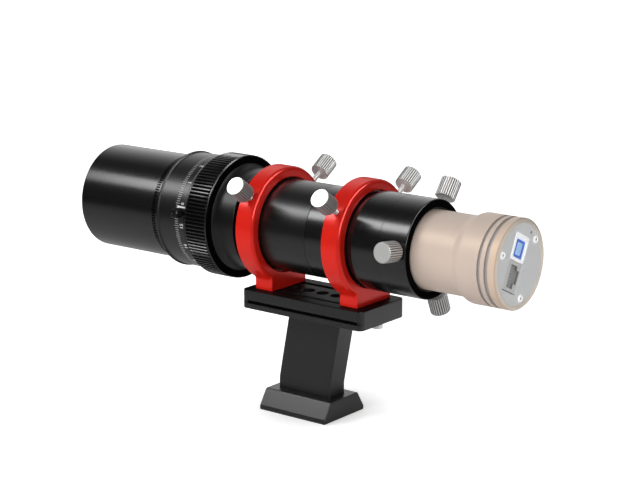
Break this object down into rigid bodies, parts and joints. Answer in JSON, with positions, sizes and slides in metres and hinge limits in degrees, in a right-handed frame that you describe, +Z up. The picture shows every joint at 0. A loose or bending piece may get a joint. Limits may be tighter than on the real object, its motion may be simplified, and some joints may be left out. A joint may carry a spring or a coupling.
{
  "type": "guide camera",
  "caption": "Small guide telescope with a guide camera in its rear holder, carried by two screw rings on a slotted plate, a leaning post and a finder foot.",
  "frame": {"origin": "centre of the finder foot's bottom face", "axes": "+X along the optical axis from the objective to the camera, +Z up from the foot to the scope, +Y completes a right-handed frame"},
  "size_m": [0.2092, 0.0669, 0.1039],
  "materials": {
    "black_anodised": "black anodised, satin",
    "black_grip": "black anodised, ribbed grip",
    "red_anodised": "red anodised, satin",
    "silver_knurled": "bright turned, knurled",
    "steel": "plain machine screws",
    "nylon": "natural nylon",
    "brass": "bare, turned",
    "black_steel": "blackened screw",
    "lens_glass": "coated, clear",
    "camera_shell": "pale rose anodised, satin",
    "camera_back": "light grey anodised",
    "port_shell": "plated shell",
    "port_blue": "moulded insert",
    "port_grey": "moulded housing",
    "led_red": "moulded lens",
    "board_green": "solder mask",
    "sensor_chip": "covered chip"
  },
  "bodies": {
    "base": {"finder_foot": "black_anodised", "post": "black_anodised", "foot_screws": "steel", "mount_plate": "black_anodised", "plate_screws": "steel", "stop_screw": "steel", "ring_front": "red_anodised", "ring_rear": "red_anodised", "ring_bolts": "steel", "ring_pads": "nylon", "main_tube": "black_anodised", "rear_tube": "black_anodised", "baffle": "black_anodised", "eyepiece_holder": "black_anodised", "clamp_band": "brass", "helicoid_body": "black_anodised", "ring_keeper": "steel", "slide_key": "steel"},
    "focus_ring": {"focus_ring": "black_grip"},
    "focus_lock": {"focus_lock": "black_steel"},
    "objective": {"objective_cell": "black_anodised", "dew_shield": "black_anodised", "lens_crown": "lens_glass", "lens_flint": "lens_glass", "lens_spacer": "black_anodised", "lens_retainer": "black_anodised"},
    "camera": {"camera_body": "camera_shell", "camera_back": "camera_back", "back_screws": "steel", "data_port": "port_shell", "data_insert": "port_blue", "guide_port": "port_grey", "status_led": "led_red", "port_board": "board_green", "sensor_board": "board_green", "board_posts": "brass", "image_sensor": "sensor_chip", "camera_window": "lens_glass", "window_ring": "black_anodised"},
    "ring_screw_fl": {"ring_screw_fl": "silver_knurled"},
    "ring_screw_fr": {"ring_screw_fr": "silver_knurled"},
    "ring_screw_rl": {"ring_screw_rl": "silver_knurled"},
    "ring_screw_rr": {"ring_screw_rr": "silver_knurled"},
    "holder_screw_side": {"holder_screw_side": "silver_knurled"},
    "holder_screw_upper": {"holder_screw_upper": "silver_knurled"},
    "holder_screw_lower": {"holder_screw_lower": "silver_knurled"}
  },
  "joints": [
    {"name": "focus_turn", "type": "hinge", "parent": "base", "child": "focus_ring", "pos_m": [-0.045, 0, 0.0775], "axis": [1, 0, 0], "range_deg": [0, 270]},
    {"name": "objective_travel", "type": "slide", "parent": "base", "child": "objective", "axis": [-1, 0, 0], "range_m": [0, 0.006]},
    {"name": "focus_lock_screw", "type": "slide", "parent": "focus_ring", "child": "focus_lock", "axis": [0, -0.9877, 0.1564], "range_m": [0, 0.002]},
    {"name": "camera_slide", "type": "slide", "parent": "base", "child": "camera", "axis": [1, 0, 0], "range_m": [-0.016, 0.022]},
    {"name": "ring_screw_fl_travel", "type": "slide", "parent": "base", "child": "ring_screw_fl", "axis": [0, -0.8192, 0.5736], "range_m": [0, 0.004]},
    {"name": "ring_screw_fr_travel", "type": "slide", "parent": "base", "child": "ring_screw_fr", "axis": [0, 0.8358, 0.549], "range_m": [0, 0.004]},
    {"name": "ring_screw_rl_travel", "type": "slide", "parent": "base", "child": "ring_screw_rl", "axis": [0, -0.8192, 0.5736], "range_m": [0, 0.004]},
    {"name": "ring_screw_rr_travel", "type": "slide", "parent": "base", "child": "ring_screw_rr", "axis": [0, 0.8358, 0.549], "range_m": [0, 0.004]},
    {"name": "holder_screw_side_travel", "type": "slide", "parent": "base", "child": "holder_screw_side", "axis": [0, -0.9925, 0.1219], "range_m": [0, 0.002]},
    {"name": "holder_screw_upper_travel", "type": "slide", "parent": "base", "child": "holder_screw_upper", "axis": [0, 0.6018, 0.7986], "range_m": [0, 0.002]},
    {"name": "holder_screw_lower_travel", "type": "slide", "parent": "base", "child": "holder_screw_lower", "axis": [0, 0.3907, -0.9205], "range_m": [0, 0.002]}
  ],
  "couplings": [
    {"joint": "objective_travel", "follows": "focus_turn", "m_per_rad": 0.0012732}
  ]
}
